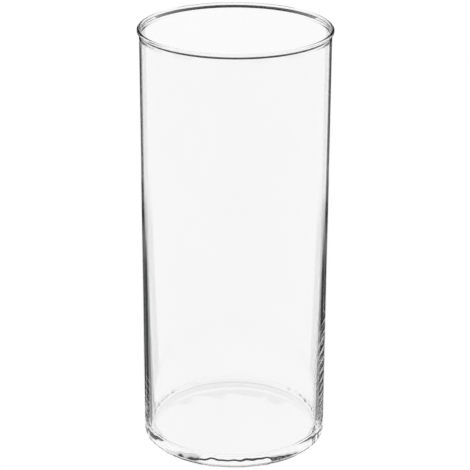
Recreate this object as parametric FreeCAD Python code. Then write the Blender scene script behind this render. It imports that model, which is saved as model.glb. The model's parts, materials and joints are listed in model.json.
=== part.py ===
"""Glass cylinder vase: one annealed piece of clear glass, held here as its four glass zones.

Units are millimetres. +Z is up, and the origin is the centre of the ring that the vase stands on.
Every zone is a solid of revolution about Z, and neighbouring zones meet face to face:

    rim_bead     fire-polished lip, with the outward bead, its undercut and the slight neck below it
    side_wall    straight tube outside, and inside a straight bore that thickens towards the base
    heel_ring    rounded outer corner, standing ring and the fillet between wall and floor
    floor_disc   middle of the base, domed up underneath so that only the ring touches the table
"""

import math
import os

import FreeCAD
import Part

# Body
HEIGHT = 268.0
OUTER_RADIUS = 58.0
LIP_THICKNESS = 1.1  # wall along the straight bore
FOOT_THICKNESS = 4.3  # wall where it meets the heel
TAPER_TOP = 165.0  # height where the straight bore and the taper would meet in a corner
TAPER_BLEND_LENGTH = 12.0  # the arc that rounds that corner starts and ends this far from it

# Rim
BEAD_RADIUS = 1.15  # section radius of the bead's top, which is flush with the bore
BEAD_SIDE = 0.3  # straight outer side of the bead
UNDERCUT_DEG = 40.0  # slope of the bead's underside, away from vertical
UNDERCUT_FILLET = 0.4  # rounds both ends of the underside
NECK_DEPTH = 0.25  # how far the wall draws in just below the bead
NECK_HEIGHT = 2.4  # height over which it draws in
RIM_ZONE_HEIGHT = 7.0

# Base
HEEL_RADIUS = 3.2  # outer corner between wall and base
INNER_FILLET = 3.2  # inner corner between wall and floor
RING_INNER_RADIUS = 50.0  # the flat standing ring reaches from here out to the heel
FLOOR_EDGE_Z = 6.6  # floor's height above the table, at its edge
FLOOR_CROWN = 0.4  # rise of the floor at its centre
PUSH_UP = 1.0  # height of the dome under the floor

# Worked out from the dimensions above
BORE_RADIUS = OUTER_RADIUS - LIP_THICKNESS
FOOT_INNER_RADIUS = OUTER_RADIUS - FOOT_THICKNESS
BORE_BOTTOM = TAPER_TOP + TAPER_BLEND_LENGTH
RIM_JOIN_Z = HEIGHT - RIM_ZONE_HEIGHT
HEEL_JOIN_Z = FLOOR_EDGE_Z + INNER_FILLET

TOUCH = 1e-6  # points closer than this are the same point


def point(radius, z):
    """A point of a section, which lies in the XZ plane."""
    return FreeCAD.Vector(radius, 0, z)


def corner(radius, z):
    """A sharp corner of a section."""
    return (point(radius, z),)


def arc_about(centre, radius, start_deg, end_deg):
    """A rounded stretch of a section. 0 degrees points away from the axis, and 90 points up."""
    places = []
    for degrees in (start_deg, (start_deg + end_deg) / 2.0, end_deg):
        angle = math.radians(degrees)
        places.append(centre + point(radius * math.cos(angle), radius * math.sin(angle)))
    return tuple(places)


def half_dome(edge_radius, edge_z, rise):
    """A shallow dome's section, from its edge to its crown on the axis."""
    sphere_radius = (edge_radius**2 + rise**2) / (2.0 * rise)
    edge_deg = math.degrees(math.acos(edge_radius / sphere_radius))
    return arc_about(point(0, edge_z + rise - sphere_radius), sphere_radius, edge_deg, 90)


def turned(section):
    """The solid that a closed section sweeps in one turn about Z.

    The section lists its corners and rounded stretches in order, and straight lines join them.
    """
    edges = []
    for here, after in zip(section, section[1:] + section[:1]):
        if len(here) > 1:
            edges.append(Part.Arc(*here).toShape())
        if not here[-1].isEqual(after[0], TOUCH):
            edges.append(Part.LineSegment(here[-1], after[0]).toShape())
    face = Part.Face(Part.Wire(edges))
    solid = face.revolve(FreeCAD.Vector(0, 0, 0), FreeCAD.Vector(0, 0, 1), 360)
    if solid.Volume < 0:
        solid.reverse()
    return solid


def rim_bead():
    """Bead, undercut and neck. The bead is flush with the bore and stands proud of the wall outside."""
    bead_centre = point(BORE_RADIUS + BEAD_RADIUS, HEIGHT - BEAD_RADIUS)
    bead_outer_radius = BORE_RADIUS + 2.0 * BEAD_RADIUS
    neck_radius = OUTER_RADIUS - NECK_DEPTH
    undercut = math.radians(UNDERCUT_DEG)

    # The underside slopes from the bead's lower corner in and down to the notch.
    fillet_width = UNDERCUT_FILLET * (1.0 - math.cos(undercut))
    fillet_height = UNDERCUT_FILLET * math.sin(undercut)
    slope_width = bead_outer_radius - neck_radius - 2.0 * fillet_width
    corner_z = bead_centre.z - BEAD_SIDE
    notch_z = corner_z - slope_width / math.tan(undercut) - 2.0 * fillet_height

    # Two equal arcs sway from the notch back out to the wall.
    sway = 2.0 * math.atan(NECK_DEPTH / NECK_HEIGHT)
    sway_radius = NECK_HEIGHT / (2.0 * math.sin(sway))
    sway_deg = math.degrees(sway)
    return turned(
        [
            corner(BORE_RADIUS, RIM_JOIN_Z),
            arc_about(bead_centre, BEAD_RADIUS, 180, 0),
            arc_about(point(bead_outer_radius - UNDERCUT_FILLET, corner_z), UNDERCUT_FILLET, 0, -UNDERCUT_DEG),
            arc_about(point(neck_radius + UNDERCUT_FILLET, notch_z), UNDERCUT_FILLET, 180 - UNDERCUT_DEG, 180),
            arc_about(point(neck_radius + sway_radius, notch_z), sway_radius, 180, 180 + sway_deg),
            arc_about(point(OUTER_RADIUS - sway_radius, notch_z - NECK_HEIGHT), sway_radius, sway_deg, 0),
            corner(OUTER_RADIUS, RIM_JOIN_Z),
        ]
    )


def side_wall():
    """Tube between heel and rim: straight outside, and inside a straight bore above a slow taper."""
    slope = math.atan2(BORE_RADIUS - FOOT_INNER_RADIUS, TAPER_TOP - HEEL_JOIN_Z)
    blend_radius = TAPER_BLEND_LENGTH / math.tan(slope / 2.0)
    blend_centre = point(BORE_RADIUS - blend_radius, BORE_BOTTOM)
    return turned(
        [
            corner(OUTER_RADIUS, HEEL_JOIN_Z),
            corner(OUTER_RADIUS, RIM_JOIN_Z),
            corner(BORE_RADIUS, RIM_JOIN_Z),
            arc_about(blend_centre, blend_radius, 0, -math.degrees(slope)),
            corner(FOOT_INNER_RADIUS, HEEL_JOIN_Z),
        ]
    )


def heel_ring():
    """Outer corner, standing ring and inner fillet, ending at the cylinder where the floor disc begins."""
    return turned(
        [
            corner(FOOT_INNER_RADIUS, HEEL_JOIN_Z),
            corner(OUTER_RADIUS, HEEL_JOIN_Z),
            arc_about(point(OUTER_RADIUS - HEEL_RADIUS, HEEL_RADIUS), HEEL_RADIUS, 0, -90),
            corner(RING_INNER_RADIUS, 0),
            corner(RING_INNER_RADIUS, FLOOR_EDGE_Z),
            arc_about(point(FOOT_INNER_RADIUS - INNER_FILLET, HEEL_JOIN_Z), INNER_FILLET, -90, 0),
        ]
    )


def floor_disc():
    """Middle of the base: a crowned floor above a dome that stays clear of the table."""
    underside = half_dome(RING_INNER_RADIUS, 0, PUSH_UP)
    crown = half_dome(RING_INNER_RADIUS, FLOOR_EDGE_Z, FLOOR_CROWN)
    return turned([underside, crown[::-1]])


ZONES = {
    "rim_bead": rim_bead,
    "side_wall": side_wall,
    "heel_ring": heel_ring,
    "floor_disc": floor_disc,
}


def main():
    os.makedirs("parts", exist_ok=True)
    for name, make in ZONES.items():
        solid = make()
        if solid.ShapeType != "Solid" or not solid.isValid():
            raise ValueError(name + " is not a valid solid")
        solid.exportStep("parts/" + name + ".step")
        print(name, round(solid.Volume, 1), "mm3")


main()
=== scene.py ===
import json
import math

import bmesh
import bpy
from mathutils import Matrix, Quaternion, Vector


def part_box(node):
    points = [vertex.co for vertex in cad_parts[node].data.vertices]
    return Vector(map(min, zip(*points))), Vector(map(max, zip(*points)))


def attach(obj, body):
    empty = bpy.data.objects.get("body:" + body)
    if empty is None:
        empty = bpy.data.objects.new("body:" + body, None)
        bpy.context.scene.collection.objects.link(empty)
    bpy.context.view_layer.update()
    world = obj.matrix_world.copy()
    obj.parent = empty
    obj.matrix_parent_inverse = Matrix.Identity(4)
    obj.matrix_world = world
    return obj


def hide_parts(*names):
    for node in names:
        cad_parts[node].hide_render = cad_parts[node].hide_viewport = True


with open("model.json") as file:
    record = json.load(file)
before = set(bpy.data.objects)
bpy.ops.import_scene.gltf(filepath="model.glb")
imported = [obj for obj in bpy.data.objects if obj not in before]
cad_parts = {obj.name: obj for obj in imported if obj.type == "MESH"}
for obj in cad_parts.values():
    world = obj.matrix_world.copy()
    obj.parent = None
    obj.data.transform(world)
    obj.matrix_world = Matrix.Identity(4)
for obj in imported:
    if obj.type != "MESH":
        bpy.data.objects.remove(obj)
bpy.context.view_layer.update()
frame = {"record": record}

MM = 0.001

# The vase's section, from the CAD frame
RIM_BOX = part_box("rim_bead")
WALL_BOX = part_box("side_wall")
HEEL_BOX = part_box("heel_ring")
DISC_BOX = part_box("floor_disc")
MOUTH = next(mount for mount in frame["record"]["mounts"] if mount["name"] == "mouth")

HEIGHT = RIM_BOX[1][2]
OUTER_RADIUS = WALL_BOX[1][0]
BORE_RADIUS = MOUTH["dims"]["r_mm"] * MM
BEAD_RADIUS = (RIM_BOX[1][0] - BORE_RADIUS) / 2.0
HEEL_JOIN_Z = HEEL_BOX[1][2]
RING_INNER_RADIUS = DISC_BOX[1][0]
FLOOR_TOP_Z = DISC_BOX[1][2]

# The rest of the section, which the frame doesn't state: the same values as in the CAD model
BEAD_SIDE = 0.3 * MM
UNDERCUT_DEG = 40.0
UNDERCUT_FILLET = 0.4 * MM
NECK_DEPTH = 0.25 * MM
NECK_HEIGHT = 2.4 * MM
TAPER_TOP = 165.0 * MM
TAPER_BLEND_LENGTH = 12.0 * MM
FOOT_THICKNESS = 4.3 * MM
HEEL_RADIUS = 3.2 * MM
INNER_FILLET = 3.2 * MM
PUSH_UP = 1.0 * MM
FLOOR_CROWN = 0.4 * MM

# How finely the surface is divided: round the vase, and along the stretches of its section
SEGMENTS = 384
UNDERSIDE_STEPS = 48
RING_STEPS = 4
WALL_STEPS = 60
BORE_STEPS = 30
PLAIN_TAPER_STEPS = 20
RIPPLED_TAPER_STEPS = 240
FLOOR_STEPS = 24
CORNER_STEPS = 24
BEAD_STEPS = 36
SMALL_ARC_STEPS = 8
SLANT_STEPS = 10

# Ripples inside the lower wall, where the hot glass chilled unevenly against the mould
RIPPLE_CENTRE_DEG = -11.0
RIPPLE_HALF_DEG = 17.0
RIPPLE_EDGE_DEG = 9.0  # angle over which they fade out sideways
RIPPLE_BOTTOM = 6.0 * MM
RIPPLE_TOP = 90.0 * MM
RIPPLE_FADE = 30.0 * MM  # height over which they fade out upwards
RIPPLE_LENGTH_LOW = 3.2 * MM  # from crest to crest, at the bottom
RIPPLE_LENGTH_HIGH = 9.5 * MM  # and at the top
RIPPLE_SLOPE = 0.085  # steepest slope of a ripple's flank
RIPPLE_CLIMB = 0.14  # rise of the crests along the wall

# Uneven flow inside and outside the heel: wave counts round the vase, with their phases in degrees
INNER_WAVES = ((5, 40.0), (9, 151.0), (14, 306.0), (23, 162.0))
INNER_WAVE_DEPTH = 0.32 * MM
INNER_WAVE_TOP = 16.0 * MM
OUTER_WAVES = ((13, 72.0), (21, 199.0), (33, 22.0), (52, 278.0))
OUTER_WAVE_DEPTH = 0.3 * MM
OUTER_WAVE_START = 1.0 * MM  # how far out on the standing ring they start

# Glass
GLASS_IOR = 1.5
GLASS_TINTS = ((0.950, 0.951, 0.950, 1), (0.966, 0.966, 0.966, 1))
TINT_SCALE = 14.0
STREAK_SCALE = (70.0, 70.0, 2.5)
STREAK_STRENGTH = 0.18
STREAK_HEIGHT = 0.4 * MM

# Table: lit under the vase and just round its foot, and clear further out, where the surround shows
TABLE_RADIUS = 0.5
TABLE_SIDES = 128
TABLE_DROP = 0.2 * MM
TABLE_FADE_START = 60.0 * MM
TABLE_FADE_END = 68.0 * MM

# Studio: a white window all round, up to a little above the horizon, a dark dome above it,
# and a bright strip round the dome
WINDOW_STRENGTH = 1.0
DOME_STRENGTH = 0.03
DOME_START_DEG = 4.4
DOME_FULL_DEG = 5.6
STRIP_LOW_DEG = 20.3
STRIP_HIGH_DEG = 60.0
STRIP_SOFTNESS_DEG = 1.0
STRIP_STRENGTH = 1.0
# Dark flags stand round the vase and draw its edges, in pairs either side of what a camera at azimuth
# -4, 90 or 225 sees behind it. A camera at a flag's own azimuth has that flag behind the vase.
OPEN_END_DEG = 90.0
FLAGS = (
    (-26.5, 9.0, 1.5, 0.92, -22.0, OPEN_END_DEG),
    (18.5, 9.0, 1.5, 0.92, -22.0, OPEN_END_DEG),
    (-33.5, 12.0, 1.5, 0.92, -37.0, -22.0),
    (24.9, 11.4, 0.6, 0.92, -37.0, -22.0),
    (67.75, 13.25, 3.0, 0.95, -14.0, OPEN_END_DEG),
    (112.5, 13.0, 3.0, 0.95, -14.0, OPEN_END_DEG),
    (202.5, 10.0, 7.0, 0.7, -13.0, OPEN_END_DEG),
    (247.5, 10.0, 7.0, 0.7, -13.0, OPEN_END_DEG),
)
FLAG_END_SOFTNESS_DEG = 2.0

# Camera
CAMERA_AZIMUTH_DEG = -4.0
CAMERA_PITCH_DEG = 21.82
CAMERA_ROLL_DEG = 0.233
CAMERA_DISTANCE = 1.1593
CAMERA_AIM = (0.00014, 0.0, 0.13265)
CAMERA_LENS = 142.08
CAMERA_SENSOR = 36.0
CAMERA_SHIFT_UP = 0.0045
CAMERA_NEAR = 0.05
CAMERA_FAR = 20.0

# Light has to pass through many glass surfaces
MAX_BOUNCES = 32
GLOSSY_BOUNCES = 16


def arc_points(centre, radius, start_deg, end_deg, steps):
    """Points along an arc of the section, as (radius, z), ends included."""
    points = []
    for step in range(steps + 1):
        angle = math.radians(start_deg + (end_deg - start_deg) * step / steps)
        points.append((centre[0] + radius * math.cos(angle), centre[1] + radius * math.sin(angle)))
    return points


def run_points(start, end, steps):
    """Points along a straight run of the section, without its last one."""
    points = []
    for step in range(steps):
        share = step / steps
        points.append((start[0] + (end[0] - start[0]) * share, start[1] + (end[1] - start[1]) * share))
    return points


def dome_points(edge_radius, edge_z, rise, steps):
    """Points along a shallow dome from its edge to just short of the axis."""
    sphere_radius = (edge_radius**2 + rise**2) / (2.0 * rise)
    points = []
    for step in range(steps):
        radius = edge_radius * (1.0 - step / steps)
        points.append((radius, edge_z + rise - sphere_radius + math.sqrt(sphere_radius**2 - radius**2)))
    return points


def base_profile():
    """From the underside's axis out over the standing ring and round the heel to the wall."""
    ring_outer = OUTER_RADIUS - HEEL_RADIUS
    underside = list(reversed(dome_points(RING_INNER_RADIUS, 0.0, PUSH_UP, UNDERSIDE_STEPS)))
    ring = run_points((RING_INNER_RADIUS, 0.0), (ring_outer, 0.0), RING_STEPS)[1:]
    heel = arc_points((ring_outer, HEEL_RADIUS), HEEL_RADIUS, -90, 0, CORNER_STEPS)
    return underside + ring + heel


def outer_profile():
    """From the underside's axis up the outside of the vase to the inner side of its bead."""
    bead_centre = (BORE_RADIUS + BEAD_RADIUS, HEIGHT - BEAD_RADIUS)
    bead_outer = BORE_RADIUS + 2.0 * BEAD_RADIUS
    over_bead = arc_points(bead_centre, BEAD_RADIUS, 0, 180, BEAD_STEPS)

    # The bead's underside slopes in and down from its lower corner to the notch.
    undercut = math.radians(UNDERCUT_DEG)
    neck_radius = OUTER_RADIUS - NECK_DEPTH
    corner_centre = (bead_outer - UNDERCUT_FILLET, bead_centre[1] - BEAD_SIDE)
    corner = arc_points(corner_centre, UNDERCUT_FILLET, -UNDERCUT_DEG, 0, SMALL_ARC_STEPS)
    notch_end_radius = neck_radius + UNDERCUT_FILLET * (1.0 - math.cos(undercut))
    slant_height = (corner[0][0] - notch_end_radius) / math.tan(undercut)
    notch_z = corner[0][1] - slant_height - UNDERCUT_FILLET * math.sin(undercut)
    notch_centre = (neck_radius + UNDERCUT_FILLET, notch_z)
    notch = arc_points(notch_centre, UNDERCUT_FILLET, 180, 180 - UNDERCUT_DEG, SMALL_ARC_STEPS)
    slant = run_points(notch[-1], corner[0], SLANT_STEPS)[1:]

    # Two equal arcs sway from the wall in to the notch.
    sway = 2.0 * math.atan(NECK_DEPTH / NECK_HEIGHT)
    sway_deg = math.degrees(sway)
    sway_radius = NECK_HEIGHT / (2.0 * math.sin(sway))
    wall_top = notch_z - NECK_HEIGHT
    low_centre = (OUTER_RADIUS - sway_radius, wall_top)
    high_centre = (neck_radius + sway_radius, notch_z)
    neck = arc_points(low_centre, sway_radius, 0, sway_deg, SMALL_ARC_STEPS)
    neck += arc_points(high_centre, sway_radius, 180 + sway_deg, 180, SMALL_ARC_STEPS)[1:-1]

    wall = run_points((OUTER_RADIUS, HEEL_RADIUS), (OUTER_RADIUS, wall_top), WALL_STEPS)[1:]
    return base_profile() + wall + neck + notch + slant + corner + over_bead


def inner_profile():
    """From below the bead down the bore and the thickening wall, and over the fillet to the floor's axis."""
    foot_radius = OUTER_RADIUS - FOOT_THICKNESS
    slope = math.atan2(BORE_RADIUS - foot_radius, TAPER_TOP - HEEL_JOIN_Z)
    blend_radius = TAPER_BLEND_LENGTH / math.tan(slope / 2.0)
    blend_top = (BORE_RADIUS, TAPER_TOP + TAPER_BLEND_LENGTH)
    blend_centre = (BORE_RADIUS - blend_radius, blend_top[1])
    bore = run_points((BORE_RADIUS, HEIGHT - BEAD_RADIUS), blend_top, BORE_STEPS)[1:]
    blend = arc_points(blend_centre, blend_radius, 0, -math.degrees(slope), CORNER_STEPS)

    ripples_start = (foot_radius + (RIPPLE_TOP - HEEL_JOIN_Z) * math.tan(slope), RIPPLE_TOP)
    taper = run_points(blend[-1], ripples_start, PLAIN_TAPER_STEPS)[1:]
    taper += run_points(ripples_start, (foot_radius, HEEL_JOIN_Z), RIPPLED_TAPER_STEPS)

    fillet_centre = (foot_radius - INNER_FILLET, HEEL_JOIN_Z)
    fillet = arc_points(fillet_centre, INNER_FILLET, 0, -90, CORNER_STEPS)
    floor = dome_points(RING_INNER_RADIUS, FLOOR_TOP_Z - FLOOR_CROWN, FLOOR_CROWN, FLOOR_STEPS)
    return bore + blend + taper + fillet + floor


def smooth_rise(value, low, high):
    """0 below low, 1 above high, and an S between them."""
    share = min(max((value - low) / (high - low), 0.0), 1.0)
    return share * share * (3.0 - 2.0 * share)


def ripple_depth(angle, z):
    """How far the ripples move the inside of the wall outwards, at an angle round the vase and a height."""
    if not RIPPLE_BOTTOM < z < RIPPLE_TOP:
        return 0.0
    away_deg = math.degrees(math.acos(math.cos(angle - math.radians(RIPPLE_CENTRE_DEG))))
    if away_deg >= RIPPLE_HALF_DEG:
        return 0.0
    growth = (RIPPLE_LENGTH_HIGH - RIPPLE_LENGTH_LOW) / (RIPPLE_TOP - RIPPLE_BOTTOM)
    length = RIPPLE_LENGTH_LOW + growth * (z - RIPPLE_BOTTOM)
    along_wall = OUTER_RADIUS * math.remainder(angle, 2.0 * math.pi)
    waves_below = math.log(length / RIPPLE_LENGTH_LOW) / growth
    phase = 2.0 * math.pi * (waves_below - RIPPLE_CLIMB * along_wall / length)
    strength = smooth_rise(RIPPLE_HALF_DEG - away_deg, 0.0, RIPPLE_EDGE_DEG)
    strength *= smooth_rise(RIPPLE_TOP - z, 0.0, RIPPLE_FADE)
    strength *= smooth_rise(z, RIPPLE_BOTTOM, HEEL_JOIN_Z)
    return strength * RIPPLE_SLOPE * length / (2.0 * math.pi) * math.sin(phase)


def mean_wave(waves, angle):
    """The mean of some waves round the vase, at an angle."""
    return sum(math.sin(count * angle + math.radians(phase)) for count, phase in waves) / len(waves)


def inner_depth(angle, z):
    """How far the uneven flow moves the inside of the heel outwards."""
    low = smooth_rise(INNER_WAVE_TOP - z, 0.0, INNER_WAVE_TOP - HEEL_JOIN_Z)
    return INNER_WAVE_DEPTH * low * mean_wave(INNER_WAVES, angle)


def outer_depth(angle, z):
    """How far the uneven flow moves the outside of the heel outwards."""
    low = smooth_rise(HEEL_JOIN_Z - z, 0.0, HEEL_JOIN_Z)
    return OUTER_WAVE_DEPTH * low * mean_wave(OUTER_WAVES, angle)


def turned_ring(mesh, radius, z, inside):
    """One ring of vertices round the axis, moved by the ripples and the uneven flow."""
    ring = []
    for segment in range(SEGMENTS):
        angle = 2.0 * math.pi * segment / SEGMENTS
        here = radius
        if inside and z < RIPPLE_TOP and radius > RING_INNER_RADIUS:
            here += ripple_depth(angle, z) + inner_depth(angle, z)
        if not inside and z < HEEL_JOIN_Z and radius > RING_INNER_RADIUS + OUTER_WAVE_START:
            here += outer_depth(angle, z)
        ring.append(mesh.verts.new((here * math.cos(angle), here * math.sin(angle), z)))
    return ring


def add_vase():
    """The whole vase as one closed surface, replacing the four zones of the CAD model."""
    mesh = bmesh.new()
    rings = [turned_ring(mesh, radius, z, False) for radius, z in outer_profile()]
    rings += [turned_ring(mesh, radius, z, True) for radius, z in inner_profile()]
    for lower, upper in zip(rings, rings[1:]):
        for segment in range(SEGMENTS):
            after = (segment + 1) % SEGMENTS
            mesh.faces.new((lower[segment], lower[after], upper[after], upper[segment]))
    for ring, axis_z in ((rings[0], PUSH_UP), (rings[-1], FLOOR_TOP_Z)):
        centre = mesh.verts.new((0, 0, axis_z))
        for segment in range(SEGMENTS):
            after = (segment + 1) % SEGMENTS
            mesh.faces.new((centre, ring[segment], ring[after]))
    bmesh.ops.recalc_face_normals(mesh, faces=mesh.faces)
    data = bpy.data.meshes.new("vase_glass")
    mesh.to_mesh(data)
    mesh.free()
    data.shade_smooth()
    data.materials.append(glass_material())
    vase = bpy.data.objects.new("vase_glass", data)
    bpy.context.collection.objects.link(vase)
    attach(vase, "root")
    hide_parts("rim_bead", "side_wall", "heel_ring", "floor_disc")


def glass_material():
    """Clear glass with a hardly visible drift in its tint and faint drawn streaks along the wall."""
    material = bpy.data.materials.new("clear_glass")
    material.use_nodes = True
    nodes = material.node_tree.nodes
    links = material.node_tree.links
    shader = nodes["Principled BSDF"]
    shader.inputs["Roughness"].default_value = 0.0
    shader.inputs["IOR"].default_value = GLASS_IOR
    shader.inputs["Transmission Weight"].default_value = 1.0
    coords = nodes.new("ShaderNodeTexCoord")

    drift = nodes.new("ShaderNodeTexNoise")
    drift.inputs["Scale"].default_value = TINT_SCALE
    tint = nodes.new("ShaderNodeValToRGB")
    for stop, colour in zip(tint.color_ramp.elements, GLASS_TINTS):
        stop.color = colour
    links.new(coords.outputs["Object"], drift.inputs["Vector"])
    links.new(drift.outputs["Fac"], tint.inputs["Fac"])
    links.new(tint.outputs["Color"], shader.inputs["Base Color"])

    stretch = nodes.new("ShaderNodeMapping")
    stretch.inputs["Scale"].default_value = STREAK_SCALE
    streaks = nodes.new("ShaderNodeTexNoise")
    streaks.inputs["Scale"].default_value = 1.0
    streaks.inputs["Detail"].default_value = 0.0
    bump = nodes.new("ShaderNodeBump")
    bump.inputs["Strength"].default_value = STREAK_STRENGTH
    bump.inputs["Distance"].default_value = STREAK_HEIGHT
    links.new(coords.outputs["Object"], stretch.inputs["Vector"])
    links.new(stretch.outputs["Vector"], streaks.inputs["Vector"])
    links.new(streaks.outputs["Fac"], bump.inputs["Height"])
    links.new(bump.outputs["Normal"], shader.inputs["Normal"])
    return material


def smooth_step(tree, value, low, high, at_low, at_high):
    """A node that eases from one number to another while a value goes from low to high."""
    node = tree.nodes.new("ShaderNodeMapRange")
    node.interpolation_type = "SMOOTHSTEP"
    node.inputs["From Min"].default_value = low
    node.inputs["From Max"].default_value = high
    node.inputs["To Min"].default_value = at_low
    node.inputs["To Max"].default_value = at_high
    tree.links.new(value, node.inputs["Value"])
    return node.outputs["Result"]


def math_node(tree, operation, *values):
    """A math node on sockets and plain numbers."""
    node = tree.nodes.new("ShaderNodeMath")
    node.operation = operation
    for socket, value in zip(node.inputs, values):
        if isinstance(value, float):
            socket.default_value = value
        else:
            tree.links.new(value, socket)
    return node.outputs[0]


def floor_material():
    """A pale, evenly lit surface that fades to clear at a distance from the vase."""
    material = bpy.data.materials.new("pale_table")
    material.use_nodes = True
    tree = material.node_tree
    tree.nodes.clear()
    output = tree.nodes.new("ShaderNodeOutputMaterial")
    coords = tree.nodes.new("ShaderNodeTexCoord")
    distance = tree.nodes.new("ShaderNodeVectorMath")
    distance.operation = "LENGTH"
    tree.links.new(coords.outputs["Object"], distance.inputs[0])
    lit = tree.nodes.new("ShaderNodeEmission")
    clear = tree.nodes.new("ShaderNodeBsdfTransparent")
    mix = tree.nodes.new("ShaderNodeMixShader")
    fade = smooth_step(tree, distance.outputs["Value"], TABLE_FADE_START, TABLE_FADE_END, 0.0, 1.0)
    tree.links.new(fade, mix.inputs["Fac"])
    tree.links.new(lit.outputs[0], mix.inputs[1])
    tree.links.new(clear.outputs[0], mix.inputs[2])
    tree.links.new(mix.outputs[0], output.inputs[0])
    return material


def add_floor():
    """The table's top, just below the vase's foot."""
    bpy.ops.mesh.primitive_circle_add(
        vertices=TABLE_SIDES, radius=TABLE_RADIUS, fill_type="NGON", location=(0, 0, -TABLE_DROP)
    )
    floor = bpy.context.object
    floor.name = "table"
    floor.data.materials.append(floor_material())


def add_world():
    """The studio round the vase, painted by direction: window, dark dome, bright strip and flags."""
    world = bpy.data.worlds.new("studio")
    bpy.context.scene.world = world
    world.use_nodes = True
    tree = world.node_tree
    tree.nodes.clear()
    output = tree.nodes.new("ShaderNodeOutputWorld")
    background = tree.nodes.new("ShaderNodeBackground")
    background.inputs["Color"].default_value = (1, 1, 1, 1)
    coords = tree.nodes.new("ShaderNodeTexCoord")
    split = tree.nodes.new("ShaderNodeSeparateXYZ")
    tree.links.new(coords.outputs["Generated"], split.inputs[0])
    minus_x = math_node(tree, "MULTIPLY", split.outputs["X"], -1.0)
    azimuth = math_node(tree, "ARCTAN2", minus_x, split.outputs["Y"])

    def by_elevation(low_deg, high_deg, at_low, at_high):
        """Eases from one number to another between two elevations."""
        low = math.sin(math.radians(low_deg))
        high = math.sin(math.radians(high_deg))
        return smooth_step(tree, split.outputs["Z"], low, high, at_low, at_high)

    def by_azimuth(centre_deg, half_deg, softness_deg, at_centre):
        """A number near an azimuth, easing to 0 away from it."""
        nearness = math_node(tree, "COSINE", math_node(tree, "SUBTRACT", azimuth, math.radians(centre_deg)))
        outer = math.cos(math.radians(half_deg + softness_deg / 2.0))
        inner = math.cos(math.radians(half_deg - softness_deg / 2.0))
        return smooth_step(tree, nearness, outer, inner, 0.0, at_centre)

    strength = by_elevation(DOME_START_DEG, DOME_FULL_DEG, WINDOW_STRENGTH, DOME_STRENGTH)
    half_end = FLAG_END_SOFTNESS_DEG / 2.0
    for centre_deg, half_deg, softness_deg, darkness, lowest_deg, highest_deg in FLAGS:
        cover = by_azimuth(centre_deg, half_deg, softness_deg, darkness)
        above_lowest = by_elevation(lowest_deg - half_end, lowest_deg + half_end, 0.0, 1.0)
        cover = math_node(tree, "MULTIPLY", cover, above_lowest)
        if highest_deg < OPEN_END_DEG:
            below_highest = by_elevation(highest_deg - half_end, highest_deg + half_end, 1.0, 0.0)
            cover = math_node(tree, "MULTIPLY", cover, below_highest)
        strength = math_node(tree, "MULTIPLY", strength, math_node(tree, "SUBTRACT", 1.0, cover))

    above_low = by_elevation(STRIP_LOW_DEG, STRIP_LOW_DEG + STRIP_SOFTNESS_DEG, 0.0, STRIP_STRENGTH)
    below_high = by_elevation(STRIP_HIGH_DEG - STRIP_SOFTNESS_DEG, STRIP_HIGH_DEG, 1.0, 0.0)
    strip = math_node(tree, "MULTIPLY", above_low, below_high)
    strength = math_node(tree, "MAXIMUM", strength, strip)
    tree.links.new(strength, background.inputs["Strength"])
    tree.links.new(background.outputs[0], output.inputs[0])


def add_camera():
    """The main camera: it looks at its aim from an azimuth, a pitch and a distance, and rolls slightly."""
    data = bpy.data.cameras.new("camera")
    data.sensor_width = CAMERA_SENSOR
    data.lens = CAMERA_LENS
    data.clip_start = CAMERA_NEAR
    data.clip_end = CAMERA_FAR
    data.shift_y = CAMERA_SHIFT_UP
    camera = bpy.data.objects.new("camera", data)
    bpy.context.collection.objects.link(camera)
    azimuth = math.radians(CAMERA_AZIMUTH_DEG)
    pitch = math.radians(CAMERA_PITCH_DEG)
    level = math.cos(pitch)
    back = Vector((math.sin(azimuth) * level, -math.cos(azimuth) * level, math.sin(pitch)))
    camera.location = Vector(CAMERA_AIM) + back * CAMERA_DISTANCE
    camera.rotation_mode = "QUATERNION"
    upright = (-back).to_track_quat("-Z", "Y")
    camera.rotation_quaternion = upright @ Quaternion((0, 0, 1), math.radians(CAMERA_ROLL_DEG))
    bpy.context.scene.camera = camera


def main():
    """Makes the vase, the table, the light and the camera, and sets how the picture is made."""
    add_vase()
    add_floor()
    add_world()
    add_camera()
    scene = bpy.context.scene
    scene.view_settings.view_transform = "Standard"
    scene.cycles.max_bounces = MAX_BOUNCES
    scene.cycles.transmission_bounces = MAX_BOUNCES
    scene.cycles.glossy_bounces = GLOSSY_BOUNCES


main()
